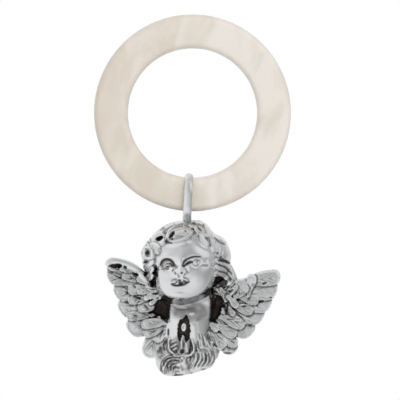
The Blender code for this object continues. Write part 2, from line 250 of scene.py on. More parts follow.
# Pearly cast plastic: cream, with clouds about a centimetre wide that drift from warm beige to pale
# cream, and a clear polished skin over them.
pearl, tree, shader = new_material("pearl_cast_plastic")
place = add_node(tree, "ShaderNodeTexCoord").outputs["Object"]
stretched = add_node(tree, "ShaderNodeMapping", {"Vector": place, "Scale": (1.0, 0.5, 0.55),
                                                 "Rotation": (0, math.radians(38), 0)})
cloud = add_node(tree, "ShaderNodeTexNoise", {"Vector": stretched.outputs["Vector"], "Detail": 3.0,
                                              "Scale": 1 / CLOUD_WIDTH, "Distortion": 0.8}).outputs["Fac"]
across = add_node(tree, "ShaderNodeSeparateXYZ", {"Vector": place}).outputs["X"]
cloud = add_node(tree, "ShaderNodeMath", {0: across, 1: CLOUD_DRIFT / RING_OUTER_R, 2: cloud},
                 operation="MULTIPLY_ADD").outputs["Value"]
tone = add_node(tree, "ShaderNodeValToRGB", {"Fac": cloud})
tone.color_ramp.elements[0].position = 0.36
tone.color_ramp.elements[0].color = linear("#DBD1C5")
tone.color_ramp.elements[1].position = 0.62
tone.color_ramp.elements[1].color = linear("#E9E2DA")
tree.links.new(tone.outputs["Color"], shader.inputs["Base Color"])
shader.inputs["Roughness"].default_value = 0.32
shader.inputs["Coat Weight"].default_value = 0.35
shader.inputs["Coat Roughness"].default_value = 0.12
shader.inputs["Subsurface Weight"].default_value = 0.15
shader.inputs["Subsurface Scale"].default_value = 2 * MM

sizes = {"Middle radius": RING_OUTER_R - RING_BAND / 2, "Band": RING_BAND, "Thickness": RING_THICK,
         "Edge radius": RING_EDGE_R}
tree = new_tree("turned_ring", sizes)
given = add_node(tree, "NodeGroupInput").outputs
path = add_node(tree, "GeometryNodeCurvePrimitiveCircle", {"Resolution": RING_STEPS,
                                                           "Radius": given["Middle radius"]})
section = add_node(tree, "GeometryNodeCurvePrimitiveQuadrilateral", {"Width": given["Band"],
                                                                     "Height": given["Thickness"]})
section = add_node(tree, "GeometryNodeFilletCurve", {"Curve": section.outputs["Curve"], "Count": 7,
                                                     "Radius": given["Edge radius"]}, mode="POLY")
swept = add_node(tree, "GeometryNodeCurveToMesh", {"Curve": path.outputs["Curve"],
                                                   "Profile Curve": section.outputs["Curve"]})
stood = add_node(tree, "GeometryNodeTransform", {"Geometry": swept.outputs["Mesh"],
                                                 "Rotation": (math.pi / 2, 0, 0)})
end_tree(tree, stood.outputs["Geometry"], pearl)
blank = bpy.data.objects.new("ring_blank", bpy.data.meshes.new("ring_blank"))
bpy.context.collection.objects.link(blank)
grow(blank, tree, sizes)
finished("teething_ring_finish", blank, "ring", "teething_ring", "teething_ring")

# Hanging loop: a half-round strap of silver bent into a long oval round the ring's bar, its foot let
# into the crown of the head and soldered there.
LOOP_LOW, LOOP_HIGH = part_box("hanging_loop")
LOOP_WIDTH = LOOP_HIGH.x - LOOP_LOW.x
LOOP_THICK = 0.9 * MM
LOOP_OUTER_R = LOOP_HIGH.y
BEND_STEPS = 40
WEAR_WIDTH = 1.6 * MM


def silver_material(name, polish, oxidised_and_shaded):
    """Silver: a pale, slightly soft mirror. A darkened one turns brown-black where the recess attribute is
    high: a film that polishing never reaches, and painted shade under the feathers, locks and chin."""
    material, tree, shader = new_material(name)
    place = add_node(tree, "ShaderNodeTexCoord").outputs["Object"]
    wear = add_node(tree, "ShaderNodeTexNoise", {"Vector": place, "Scale": 1 / WEAR_WIDTH,
                                                 "Detail": 4.0}).outputs["Fac"]
    bright = add_node(tree, "ShaderNodeMix", {"Factor": wear, "A": linear("#D3D4D6"),
                                              "B": linear("#E4E5E5")}, data_type="RGBA")
    colour = bright.outputs["Result"]
    shader.inputs["Metallic"].default_value = 1.0
    if oxidised_and_shaded:
        depth = add_node(tree, "ShaderNodeAttribute", attribute_name="recess").outputs["Fac"]
        mottle = add_node(tree, "ShaderNodeMath", {0: wear, 1: 0.25, 2: -0.12},
                          operation="MULTIPLY_ADD").outputs["Value"]
        tarnish_and_shade = add_node(tree, "ShaderNodeMath", {0: depth, 1: mottle}, operation="ADD",
                           use_clamp=True).outputs["Value"]
        oxide_and_shade_mix = add_node(tree, "ShaderNodeMix", {"Factor": tarnish_and_shade, "A": colour, "B": linear("#3A3330")},
                         data_type="RGBA")
        colour = oxide_and_shade_mix.outputs["Result"]
        rough = add_node(tree, "ShaderNodeMapRange", {"Value": tarnish_and_shade, "To Min": polish, "To Max": 0.6})
    else:
        rough = add_node(tree, "ShaderNodeMapRange", {"Value": wear, "To Min": polish - 0.05,
                                                      "To Max": polish + 0.07})
    tree.links.new(rough.outputs["Result"], shader.inputs["Roughness"])
    tree.links.new(colour, shader.inputs["Base Color"])
    return material


# Polished silver strap: rubbed by the ring, so its mirror is soft
strap_silver = silver_material("polished_silver_strap", polish=0.24, oxidised_and_shaded=False)
bend_r = LOOP_OUTER_R - LOOP_THICK
top_z = LOOP_HIGH.z - LOOP_OUTER_R
low_z = LOOP_LOW.z + LOOP_OUTER_R
loop_curve = bpy.data.curves.new("loop_path", "CURVE")
loop_curve.dimensions = "3D"
route = []
for start, middle_z in ((0, top_z), (1, low_z)):
    for i in range(BEND_STEPS + 1):
        angle = math.pi * (start + i / BEND_STEPS)
        route.append((0, bend_r * math.cos(angle), middle_z + bend_r * math.sin(angle)))
spline = loop_curve.splines.new("POLY")
spline.points.add(len(route) - 1)
for point, spot in zip(spline.points, route):
    point.co = (*spot, 1)
spline.use_cyclic_u = True
strap = bpy.data.objects.new("loop_blank", loop_curve)
bpy.context.collection.objects.link(strap)
sizes = {"Width": LOOP_WIDTH, "Thickness": LOOP_THICK}
tree = new_tree("bent_strap", sizes)
given = add_node(tree, "NodeGroupInput").outputs
half_strap = add_node(tree, "ShaderNodeMath", {0: given["Width"], 1: 2.0},
                      operation="DIVIDE").outputs["Value"]
arch = add_node(tree, "GeometryNodeCurveArc", {"Resolution": 17, "Radius": 1.0, "Start Angle": math.pi,
                                               "Sweep Angle": math.pi, "Connect Center": False})
arch = add_node(tree, "GeometryNodeSetSplineCyclic", {"Geometry": arch.outputs["Curve"], "Cyclic": True})
scale = add_node(tree, "ShaderNodeCombineXYZ", {"X": half_strap, "Y": given["Thickness"], "Z": 1.0})
arch = add_node(tree, "GeometryNodeTransform", {"Geometry": arch.outputs["Geometry"],
                                                "Scale": scale.outputs["Vector"]})
swept = add_node(tree, "GeometryNodeCurveToMesh", {"Curve": given["Geometry"],
                                                   "Profile Curve": arch.outputs["Geometry"]})
end_tree(tree, swept.outputs["Mesh"], strap_silver)
grow(strap, tree, sizes)
finished("hanging_loop_finish", strap, "cherub", "hanging_loop", "hanging_loop")

# Front shell: thin sheet silver struck into a steel die, so face, curls and feathers are one relief.
# The die was cut by hand: heavy forms first, then locks and feathers, then lines with a graver. It is
# trimmed along the feather tips and soldered to the back round its edge.
FRONT_LOW, FRONT_HIGH = [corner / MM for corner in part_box("front_shell")]
FRONT_SEAM = FRONT_HIGH.y
DIE_STEP = 0.175
DIE_MARGIN = 1.2
GROUND_HEIGHT = 1.3
OUTSIDE = -9.0
EDGE_HEIGHT = 0.45
EDGE_STEEPNESS = 2.2
EDGE_REACH = 6.0
LEAST_HEIGHT = 0.4
WALL = 0.9
RIM_WIDTH = 1.1
SHARP_ANGLE = math.radians(60)

# The die, in millimetres: its height, how far each place lies inside the outline, and its black oxide
# and painted shade
x_line = np.arange(FRONT_LOW.x - DIE_MARGIN, FRONT_HIGH.x + DIE_MARGIN, DIE_STEP)
z_line = np.arange(FRONT_LOW.z - DIE_MARGIN, FRONT_HIGH.z + DIE_MARGIN, DIE_STEP)
X, Z = np.meshgrid(x_line, z_line)
height = np.full(X.shape, GROUND_HEIGHT)
cover = np.full(X.shape, OUTSIDE)
oxide_and_shade = np.ones(X.shape)


def blurred(values, spread):
    """A soft blur over the die, with the spread in millimetres."""
    waves_x = np.fft.fftfreq(len(x_line), DIE_STEP)[None, :]
    waves_z = np.fft.fftfreq(len(z_line), DIE_STEP)[:, None]
    fade = np.exp(-2 * (math.pi * spread) ** 2 * (waves_x ** 2 + waves_z ** 2))
    return np.fft.ifft2(np.fft.fft2(values) * fade).real


def smooth_path(points, closed=False, steps=8):
    """A smooth line through given points."""
    points = np.array(points, float)
    if closed:
        points = np.concatenate([points[-1:], points, points[:2]])
    else:
        points = np.concatenate([2 * points[:1] - points[1:2], points, 2 * points[-1:] - points[-2:-1]])
    t = np.linspace(0, 1, steps, endpoint=False)[:, None]
    found = []
    for a, b, c, d in zip(points, points[1:], points[2:], points[3:]):
        found.append(b + (c - a) / 2 * t + (a - 2.5 * b + 2 * c - d / 2) * t ** 2
                     + (-a + 3 * b - 3 * c + d) / 2 * t ** 3)
    return np.concatenate(found + [points[-2:-1]])


def near(line, margin):
    """The die near a line, with the distance, the share of its length and the distance to its left."""
    low, high = line.min(0) - margin, line.max(0) + margin
    here = (slice(*np.searchsorted(z_line, (low[1], high[1]))),
            slice(*np.searchsorted(x_line, (low[0], high[0]))))
    x, z = X[here], Z[here]
    lengths = np.hypot(*np.diff(line, axis=0).T) + 1e-9
    distance, share, left = np.full(x.shape, 1e9), np.zeros(x.shape), np.zeros(x.shape)
    walked = 0.0
    for (ax, az), (bx, bz), length in zip(line, line[1:], lengths):
        t = np.clip(((x - ax) * (bx - ax) + (z - az) * (bz - az)) / length ** 2, 0, 1)
        dx, dz = x - ax - t * (bx - ax), z - az - t * (bz - az)
        gap = np.hypot(dx, dz)
        closer = gap < distance
        distance = np.where(closer, gap, distance)
        share = np.where(closer, (walked + t * length) / lengths.sum(), share)
        left = np.where(closer, np.sign((bx - ax) * dz - (bz - az) * dx) * gap, left)
        walked += length
    return here, distance, share, left


def oval(centre, half, turn=0.0):
    """Distance from an oval's centre, 1 at its edge."""
    cosine, sine = math.cos(math.radians(turn)), math.sin(math.radians(turn))
    dx, dz = X - centre[0], Z - centre[1]
    return np.hypot((dx * cosine + dz * sine) / half[0], (dz * cosine - dx * sine) / half[1])


def dome(centre, half, depth, power=2.0, fall=0.5):
    """A rounded form over an oval; a fall of 0.5 makes its foot steep and 1 makes it slope."""
    return depth * np.clip(1 - oval(centre, half) ** power, 0, None) ** fall


def step_up(value, low, high):
    """A smooth step from 0 at the low value to 1 at the high one."""
    t = np.clip((value - low) / (high - low), 0, 1)
    return t * t * (3 - 2 * t)


def full_middle(share, power=4):
    """1 along the middle of a line, falling to 0 at its two ends."""
    return np.sqrt(np.clip(1 - (2 * share - 1) ** power, 0, 1))


# The unevenness of hand work: a slow drift and a fine grain
chance = np.random.default_rng(7)
drift = blurred(chance.normal(size=X.shape), 0.6)
drift /= np.abs(drift).max()
grain = blurred(chance.normal(size=X.shape), 0.24)
grain /= np.abs(grain).max()


def streaks(across, share, gap):
    """Uneven hand-cut lines along a blade, 1 in a line and 0 between; the gap is in millimetres."""
    turns, pitches, sways = chance.random(3), chance.uniform(0.7, 1.5, 3), chance.uniform(-0.5, 0.5, 3)
    total = 0
    for turn, pitch, sway in zip(turns, pitches, sways):
        total = total + np.cos(2 * math.pi * (across / (gap * pitch) + turn + sway * share))
    return step_up(total / 3, 0.1, 0.55)


BLADE_POWER = 2.3
BLADE_RIM = 0.86


def feather(root, tip, half_width, level, smooth, gap=0.62, shade=0.25, tilt=0.3, slant=0.0, taper=0.4):
    """One feather laid over those before it: a crowned blade with a raised rim, barbs cut slantwise as
    far as a smooth end, its lower edge lifted, and a black line where it shades the feather below."""
    root, tip = np.array(root, float), np.array(tip, float)
    length = np.hypot(*(tip - root))
    ahead = (tip - root) / length
    lower = np.array([ahead[1], -ahead[0]]) if ahead[0] > 0 else np.array([-ahead[1], ahead[0]])
    middle, reach = (root + tip) / 2, length / 2 + half_width + 1.5
    here = (slice(*np.searchsorted(z_line, (middle[1] - reach, middle[1] + reach))),
            slice(*np.searchsorted(x_line, (middle[0] - reach, middle[0] + reach))))
    dx, dz = X[here] - root[0], Z[here] - root[1]
    along = dx * ahead[0] + dz * ahead[1]
    share = np.clip(along / length, 0, 1)
    down = dx * lower[0] + dz * lower[1]
    width = half_width * (taper + (1 - taper) * step_up(share, 0, 0.6))
    cap = (1.1 - slant) * half_width
    beyond = np.clip((along + slant * down - length + cap) / cap, 0, None)
    beyond = beyond + np.clip(-along / cap, 0, None)
    # 0 along the spine and 1 at the feather's edge
    to_edge = (np.abs(down / width) ** BLADE_POWER + beyond ** BLADE_POWER) ** (1 / BLADE_POWER)
    blade = 0.6 * np.sqrt(np.clip(1 - to_edge ** 4, 0, 1))
    blade = blade + 0.36 * np.exp(-((to_edge - BLADE_RIM) / 0.09) ** 2)
    lines = streaks((np.abs(down) - 0.3 * along) / 1.04 + 0.9 * drift[here], share, gap)
    inner = step_up(BLADE_RIM - to_edge, 0, 0.25) * (1 - step_up(share, 0.85 - smooth, 1.1 - smooth))
    inner = np.clip(inner * (0.8 + 1.6 * drift[here]), 0, 1)
    raised = level + 0.5 * (1 - share) + tilt * down / width + blade
    raised = raised - 0.4 * inner * lines - 0.05 * grain[here]
    shadow = np.exp(-((to_edge - 1) * width / 0.34) ** 2) * step_up(down / width, -0.9, 0.2)
    shadow = np.maximum(shadow, 0.45 * np.exp(-((to_edge - 1) * width / 0.25) ** 2))
    on = to_edge < 1
    worn = np.maximum(inner * (shade + (0.95 - shade) * lines), 0.35 * np.clip(grain[here], 0, 1))
    oxide_and_shade[here] = np.where(on, worn, np.maximum(oxide_and_shade[here], 0.9 * shadow))
    height[here] = np.where(on, np.maximum(raised, height[here] - 0.6), height[here] - 0.25 * shadow)
    cover[here] = np.maximum(cover[here], (1 - to_edge) * width)


def lock(points, half_width, lift, rise, gap=0.7):
    """A rope of hair lying on the skull, with a few combed lines and painted shade round its edge. Both
    are painted lighter on the crown and right side, where the light falls.
    """
    here, distance, share, left = near(smooth_path(points), half_width + 0.6)
    width = half_width * (0.55 + 0.45 * full_middle(share))
    to_edge = distance / width
    lines = streaks(left, share, gap) * step_up(0.9 - to_edge, 0, 0.4)
    round_top = np.sqrt(np.clip(1 - to_edge ** 2, 0, 1))
    raised = skull[here] + lift + LOCK_RISE * rise * round_top - 0.2 * lines
    on = (to_edge < 1) & (raised > height[here])
    # Painted shade round the lock, lighter on the crown and right side, where the light falls
    edge = np.exp(-((to_edge - 1) * width / 0.35) ** 2)
    less_shade_where_lit = 1 - 0.6 * step_up(X[here] + 0.4 * (Z[here] + 40), -3, 1)
    shadow = 0.7 * less_shade_where_lit * edge * (to_edge > 1)
    oxide_and_shade[here] = np.where(on, 0.35 * less_shade_where_lit * lines, np.maximum(oxide_and_shade[here], shadow))
    height[here] = np.where(on, raised, height[here])


def cut(points, half_width, depth, dark):
    """A graver's line, or a dot from one point, deepest in its middle; the bottom of it stays black."""
    dot = len(points) == 1
    line = np.array([points[0], points[0]]) + [[0, 0], [1e-3, 0]] if dot else smooth_path(points)
    here, distance, share, _ = near(line, half_width * 3)
    ends = 1.0 if dot else 0.45 + 0.55 * full_middle(share)
    stroke = np.exp(-(distance / (half_width * ends)) ** 2)
    height[here] -= depth * stroke
    oxide_and_shade[here] = np.maximum(oxide_and_shade[here], dark * np.clip(1.4 * stroke - 0.2, 0, 1))


def ridge(points, half_width, rise):
    """A raised line with its top polished bright, such as a fold, a lid or a strand."""
    here, distance, share, _ = near(smooth_path(points), half_width * 3)
    stroke = full_middle(share, 6) * np.exp(-(distance / half_width) ** 2)
    height[here] += rise * stroke
    oxide_and_shade[here] *= 1 - stroke


def bead(centre, half, rise, turn):
    """A polished bead standing out of what lies under it."""
    form = np.sqrt(np.clip(1 - oval(centre, half, turn) ** 2, 0, 1))
    height[:] += rise * form
    oxide_and_shade[form > 0] = 0


def inside_path(path):
    """Signed distance to a closed path, above 0 inside it."""
    _, distance, _, _ = near(path, 60)
    within = np.zeros(X.shape, bool)
    for (ax, az), (bx, bz) in zip(path, path[1:]):
        crossing = (az > Z) != (bz > Z)
        within ^= crossing & (X < ax + (Z - az) / (bz - az + 1e-12) * (bx - ax))
    return np.where(within, distance, -distance)


def lay(form, least=0.0):
    """Lays a smooth form over the die, polished where it stands highest."""
    on = form > np.maximum(height, least)
    oxide_and_shade[on] = 0
    height[on] = form[on]


def pit(points, depth, dark):
    """A hollow the polishing wheel never reaches, black inside a closed line."""
    inside = inside_path(smooth_path(points, True)) + 0.5 * grain
    height[:] += (blurred(height, 1.0) - height - depth) * step_up(inside, -0.15, 0.4)
    oxide_and_shade[:] = np.maximum(oxide_and_shade, dark * step_up(inside, -0.2, 0.15))


# The sunk ground between the feathers stays black
GROUNDS = (
    ((-14.0, -44.2), (-20.9, -43.7), (-20.2, -46.2), (-16.6, -51.3), (-14.4, -56.0), (-11.4, -60.6),
     (-8.0, -65.0), (-5.0, -62.0), (-8.0, -48.0)),
    ((15.5, -47.8), (20.0, -46.2), (24.4, -45.4), (23.6, -48.6), (20.8, -54.0), (17.0, -59.0),
     (12.4, -63.8), (9.0, -62.0), (10.0, -52.0)))
for ground in GROUNDS:
    cover = np.maximum(cover, inside_path(smooth_path(ground, True)))
# Long wing feathers from the tail up, each laid over the one below: root, tip, half width, the share
# of the blade that is smooth and the slant of its end. The right wing's feathers are less dark inside.
LONG_LEVEL = 1.5
LONG_FEATHERS = (
    ((-6.8, -59.5), (-8.6, -69.1), 2.5, 0.2, 0.0), ((-5.5, -59.0), (-14.9, -61.6), 2.7, 0.2, 0.3),
    ((-7.0, -54.2), (-17.6, -56.2), 2.7, 0.18, 0.35), ((-9.0, -50.4), (-19.2, -51.6), 2.4, 0.18, 0.35),
    ((-9.5, -47.2), (-21.4, -47.1), 2.3, 0.1, 0.35), ((-13.4, -45.6), (-21.6, -44.8), 0.8, 0.2, 0.3),
    ((9.3, -60.0), (15.3, -66.4), 2.5, 0.15, 0.0), ((11.0, -57.4), (20.0, -60.8), 2.7, 0.15, 0.3),
    ((12.0, -54.8), (22.7, -56.4), 2.6, 0.2, 0.35), ((13.0, -52.5), (24.8, -52.4), 2.5, 0.25, 0.35),
    ((14.0, -50.2), (26.3, -48.4), 2.5, 0.25, 0.35), ((16.5, -46.4), (27.0, -44.4), 2.25, 0.05, 0.1))
for root, tip, half_width, smooth, slant in LONG_FEATHERS:
    feather(root, tip, half_width, LONG_LEVEL, smooth, shade=0.25 if root[0] < 0 else 0.1, slant=slant)
# Shorter feathers over their roots: root, tip, half width and smooth share. The right wing's are less dark
# inside.
SHORT_LEVEL = 2.2
SHORT_FEATHERS = (
    ((-3.6, -58.4), (-5.6, -66.8), 1.3, 0.1), ((-4.0, -59.4), (-7.2, -64.4), 1.7, 0.2),
    ((-4.4, -60.0), (-10.4, -62.7), 1.4, 0.2), ((-3.4, -58.4), (-11.4, -59.8), 1.6, 0.2),
    ((-8.5, -57.0), (-15.6, -57.7), 1.4, 0.2), ((-6.6, -54.6), (-12.6, -54.8), 1.8, 0.2),
    ((-8.4, -52.0), (-15.3, -53.4), 1.4, 0.2), ((-8.5, -49.8), (-15.6, -50.3), 1.6, 0.2),
    ((-10.0, -47.9), (-17.5, -46.3), 1.1, 0.2), ((-13.4, -45.2), (-18.2, -44.5), 0.7, 0.3),
    ((-9.2, -48.8), (-13.0, -46.3), 1.2, 0.8), ((7.4, -58.6), (9.6, -66.4), 1.4, 0.1),
    ((10.4, -61.4), (16.0, -64.2), 1.6, 0.3), ((7.8, -60.0), (12.4, -65.2), 1.8, 0.1),
    ((9.6, -58.8), (15.7, -61.4), 1.7, 0.2), ((10.8, -56.4), (17.9, -58.5), 1.9, 0.2),
    ((14.0, -53.2), (20.0, -54.5), 1.6, 0.2), ((15.6, -50.6), (21.4, -51.5), 1.6, 0.3),
    ((12.4, -48.6), (17.6, -46.5), 1.5, 0.5), ((18.4, -49.2), (19.2, -44.1), 1.5, 0.5),
    ((14.2, -51.4), (18.0, -47.3), 1.3, 0.3))
for root, tip, half_width, smooth in SHORT_FEATHERS:
    feather(root, tip, half_width, SHORT_LEVEL, smooth, gap=0.56, shade=0.3 if root[0] < 0 else 0.15)
# The wings' smooth shoulders, and small lens-shaped feathers where they meet the neck
SHOULDERS = (
    ((-8.8, -50.0), (3.0, 2.2), 3.2), ((11.6, -49.6), (2.2, 2.2), 2.8), ((12.8, -46.8), (2.6, 1.8), 2.7),
    ((9.7, -49.0), (1.5, 2.6), 3.4))
for centre, half, depth in SHOULDERS:
    lay(dome(centre, half, depth))
LENS_LEVEL = 2.8
LENS_FEATHERS = (
    ((-6.8, -50.2), (-12.8, -50.8), 0.8), ((-6.4, -51.4), (-11.0, -52.4), 0.8),
    ((-6.6, -52.4), (-9.4, -54.0), 0.7), ((8.9, -48.6), (12.0, -50.2), 0.8),
    ((9.0, -50.0), (11.4, -51.2), 0.5), ((10.6, -48.8), (12.4, -52.4), 0.8),
    ((13.0, -50.4), (15.0, -47.4), 0.85), ((12.9, -51.0), (15.6, -53.6), 1.1),
    ((12.6, -53.6), (14.8, -56.0), 0.9), ((7.9, -58.2), (10.4, -60.6), 1.1))
for root, tip, half_width in LENS_FEATHERS:
    feather(root, tip, half_width, LENS_LEVEL, 0.2, gap=0.55, tilt=0.15, taper=0.6)
# The smooth bar along the top of the left wing
bar = smooth_path([(-9.6, -48.8), (-11.2, -46.5), (-13.0, -44.7), (-15.4, -43.4), (-18.2, -42.7),
                   (-20.4, -42.6), (-21.2, -43.2)])
here, distance, share, _ = near(bar, 2)
width = 0.95 + 0.1 * share
crest = 2.3 + 0.9 * np.sqrt(np.clip(1 - (distance / width) ** 2, 0, 1))
oxide_and_shade[here] = np.where(distance < width, 0, oxide_and_shade[here])
height[here] = np.where(distance < width, np.maximum(height[here], crest), height[here])
cover[here] = np.maximum(cover[here], width - distance)
# Outline of head and body, which the feathers join
OUTLINE = (
    (-11.6, -43.6), (-12.0, -41.5), (-12.4, -39.7), (-11.5, -37.6), (-10.0, -35.6), (-8.0, -33.3),
    (-5.0, -31.2), (-1.0, -30.1), (1.5, -29.85), (4.0, -30.0), (6.0, -31.2), (7.8, -33.2), (10.0, -34.2),
    (11.5, -35.7), (12.6, -38.0), (12.9, -39.5), (12.8, -41.2), (13.7, -42.7), (14.7, -44.7),
    (15.2, -46.6), (15.0, -52.0), (12.5, -60.0), (10.9, -67.3), (10.2, -68.5), (9.3, -70.4),
    (8.0, -71.3), (5.0, -72.4), (2.0, -73.3), (-0.5, -73.7), (-3.4, -73.75), (-5.2, -72.7),
    (-6.4, -71.0), (-6.8, -69.3), (-8.5, -62.0), (-9.0, -54.0), (-10.5, -47.0))
body_cover = inside_path(smooth_path(OUTLINE, True))
cover = np.maximum(np.where((Z < -69.5) & (X > -6.5) & (X < 10), OUTSIDE, cover), body_cover)

# Neck, breast and the two lobes of long soft feathers under it, which meet in a third
LOBES = (
    ((-3.0, -68.4), (4.6, 6.2), 4.0), ((5.2, -66.4), (6.8, 7.0), 4.2), ((1.2, -68.4), (3.6, 6.6), 3.6))
for centre, half, depth in LOBES:
    lay(dome(centre, half, depth, fall=0.7))
lobes = step_up(body_cover, 0.7, 1.3) * step_up(-Z, 64.0, 67.0) * (X > -7) * (X < 11)
lobe_soot = np.clip(0.2 + 0.7 * drift + 0.8 * grain, 0, 0.7) * lobes * np.where(X < 2, 1, 0.4)
oxide_and_shade = np.maximum(oxide_and_shade, lobe_soot)
NECK_BASE, BREAST_BASE, THROAT_DEPTH = 3.2, 2.6, 1.9
neck = dome((2.2, -54.0), (6.2, 13.0), 3.6)
lay(np.where(neck > 0, NECK_BASE + neck, 0) - THROAT_DEPTH * step_up(Z, -58.0, -52.0))
breast = dome((1.6, -60.8), (6.2, 7.8), 3.0)
lay(np.where(breast > 0, BREAST_BASE + breast, 0))
# Dark patches: painted shade under the chin, and darker places on the breast and beside the left lobe:
# centre, half size, blackness and how soft the edge is
DARK_PATCHES = (
    ((2.4, -55.4), (6.0, 3.0), np.clip(0.5 + 0.5 * drift, 0, 0.65), 0.5),
    ((6.6, -58.4), (2.0, 3.6), 0.3, 0.4), ((0.2, -65.2), (3.4, 2.8), 0.5, 0.4),
    ((-5.2, -67.6), (1.4, 2.2), np.clip(0.5 + 0.8 * grain, 0, 0.8), 0.4))
for centre, half, dark, soft in DARK_PATCHES:
    oxide_and_shade = np.maximum(oxide_and_shade, dark * step_up(1.2 - oval(centre, half), 0, soft))

# Head: the skull under the hair, and the locks on it. Each lock has its line, half width, lift and
# rise, and a gap between combed lines where it isn't the usual one.
skull = dome((0.3, -41.6), (12.6, 11.9), 9.4, power=3.2)
skull = np.where(Z > -47, np.maximum(skull, np.clip(0.8 * body_cover + 1.5, 0, 4.2)), skull)
hair_floor = np.where(X < 0, -43.6, -45.3)
lay(np.where((Z > hair_floor) & (body_cover > 0), skull, 0), least=1.0)
LOCK_RISE = 1.4
LOCKS = (
    (((-6.2, -33.2), (-3.0, -31.8), (0.6, -31.3)), 1.1, 0.0, 0.5),
    (((-3.0, -31.0), (1.2, -30.5)), 0.8, 0.0, 0.4),
    (((-11.9, -38.4), (-10.7, -36.2), (-8.8, -34.4), (-6.6, -33.3)), 1.2, 0.0, 0.7),
    (((-9.7, -41.3), (-11.2, -41.5), (-11.9, -39.9), (-11.4, -38.3), (-10.2, -37.9), (-9.2, -38.9),
      (-9.0, -41.8)), 0.95, 0.0, 0.9),
    (((-6.1, -34.5), (-7.5, -34.1), (-8.7, -35.4), (-8.3, -36.9), (-6.7, -36.7),
      (-5.9, -35.4)), 0.95, 0.2, 0.8),
    (((-9.4, -37.2), (-8.0, -38.0), (-7.6, -39.6)), 1.0, 0.0, 0.6),
    (((-4.7, -36.0), (-4.7, -34.4), (-3.4, -32.9), (-1.2, -32.4), (1.2, -32.7)), 1.0, 0.9, 1.0),
    (((-3.4, -34.8), (-1.6, -34.0), (0.6, -33.4)), 1.3, 0.9, 0.7),
    (((-4.4, -36.3), (-1.8, -35.7), (0.4, -34.5), (1.7, -33.0)), 0.75, 1.2, 1.0),
    (((1.0, -31.2), (2.6, -31.4), (3.2, -32.6), (4.6, -33.6)), 1.0, 0.4, 0.8),
    (((3.6, -30.8), (4.8, -31.8), (5.4, -33.2), (6.6, -34.0)), 1.05, 0.2, 0.9),
    (((5.6, -31.6), (6.9, -33.2), (7.8, -35.4), (8.2, -38.0)), 1.1, 0.1, 0.7),
    (((4.0, -33.8), (4.9, -35.4), (6.2, -36.6)), 0.9, 0.6, 0.7),
    (((7.9, -33.9), (10.0, -35.0), (11.7, -36.8), (12.3, -39.2)), 1.3, 0.0, 0.8),
    (((8.6, -36.2), (9.8, -37.2), (9.4, -39.4)), 1.2, 0.2, 1.0),
    (((11.3, -36.8), (11.2, -39.6)), 1.9, 0.0, 1.1, 4.0),
    (((8.5, -40.4), (10.6, -41.6), (12.8, -43.6), (14.0, -45.8)), 0.9, 0.3, 0.9),
    (((8.6, -42.2), (10.8, -43.3), (12.6, -45.3)), 0.85, 0.3, 0.8),
    (((8.8, -44.0), (10.6, -44.6), (12.2, -46.0)), 0.7, 0.2, 0.7),
    (((12.4, -41.4), (14.0, -43.4), (14.8, -46.2)), 0.85, 0.2, 0.8),
    (((-8.7, -41.9), (-10.9, -44.7)), 0.8, 0.3, 0.9), (((-8.6, -43.6), (-9.9, -46.1)), 0.75, 0.3, 0.9),
    (((-8.4, -45.6), (-9.4, -47.2)), 0.6, 0.3, 0.8))
for points, half_width, lift, rise, *gap in LOCKS:
    lock(points, half_width, lift, rise, *gap)

# Face: a round child's face, turned a little to the left of the picture
FACE_BASE = 5.2
face = np.maximum(dome((0.3, -43.4), (8.9, 9.5), 6.4), dome((-0.5, -46.4), (7.2, 6.8), 6.1))
face = np.maximum(face, dome((-2.6, -47.3), (5.2, 5.5), 5.4))
face = np.where(face > 0, FACE_BASE + blurred(face, 0.6), 0)
lay(face)
# Nose, cheeks, lids, lips and chin, and the hollows between them: centre, half size, rise and turn
FACE_SWELLS = (
    ((-1.1, -43.8), (1.5, 1.5), 1.6, 0), ((-0.8, -42.0), (1.0, 2.4), 0.9, 0),
    ((-2.7, -44.5), (0.7, 0.6), 0.9, 0), ((0.45, -44.3), (0.7, 0.6), 0.8, 0),
    ((-5.6, -48.2), (2.6, 2.6), 0.5, 0), ((4.3, -46.4), (3.2, 3.0), 0.6, 0),
    ((-4.8, -42.5), (2.4, 1.7), -1.2, 0), ((1.9, -41.5), (2.9, 1.2), -0.9, 12),
    ((3.2, -41.5), (1.3, 0.9), 1.0, 0), ((5.2, -39.7), (1.4, 0.7), 0.4, 0),
    ((-4.8, -40.2), (2.6, 0.9), 0.2, 0), ((-2.6, -47.1), (1.0, 0.55), 0.7, 15),
    ((0.5, -46.4), (1.0, 0.5), 0.6, -25), ((-1.4, -48.6), (1.8, 0.6), 0.35, 0),
    ((-1.4, -51.0), (2.4, 1.5), 0.7, 0), ((-1.0, -49.6), (2.8, 0.9), -0.5, 0))
for centre, half, rise, turn in FACE_SWELLS:
    height += rise * np.exp(-oval(centre, half, turn) ** 2) * step_up(face, FACE_BASE, FACE_BASE + 1)

# The brow runs smoothly up under the hair
brow = step_up(1.25 - oval((0.6, -38.2), (6.4, 2.4)), 0, 0.4)
height = height + brow * (blurred(height, 0.7) - height)
oxide_and_shade *= 1 - brow

# The jaw's foot is softened where it meets the neck, with a little painted shade along it
edge = blurred((face > 0).astype(float), 0.5)
foot = 4 * edge * (1 - edge) * step_up(-Z, 48.5, 50.5)
height = height + foot * (blurred(height, 0.6) - height)
oxide_and_shade = np.maximum(oxide_and_shade, 0.3 * foot)

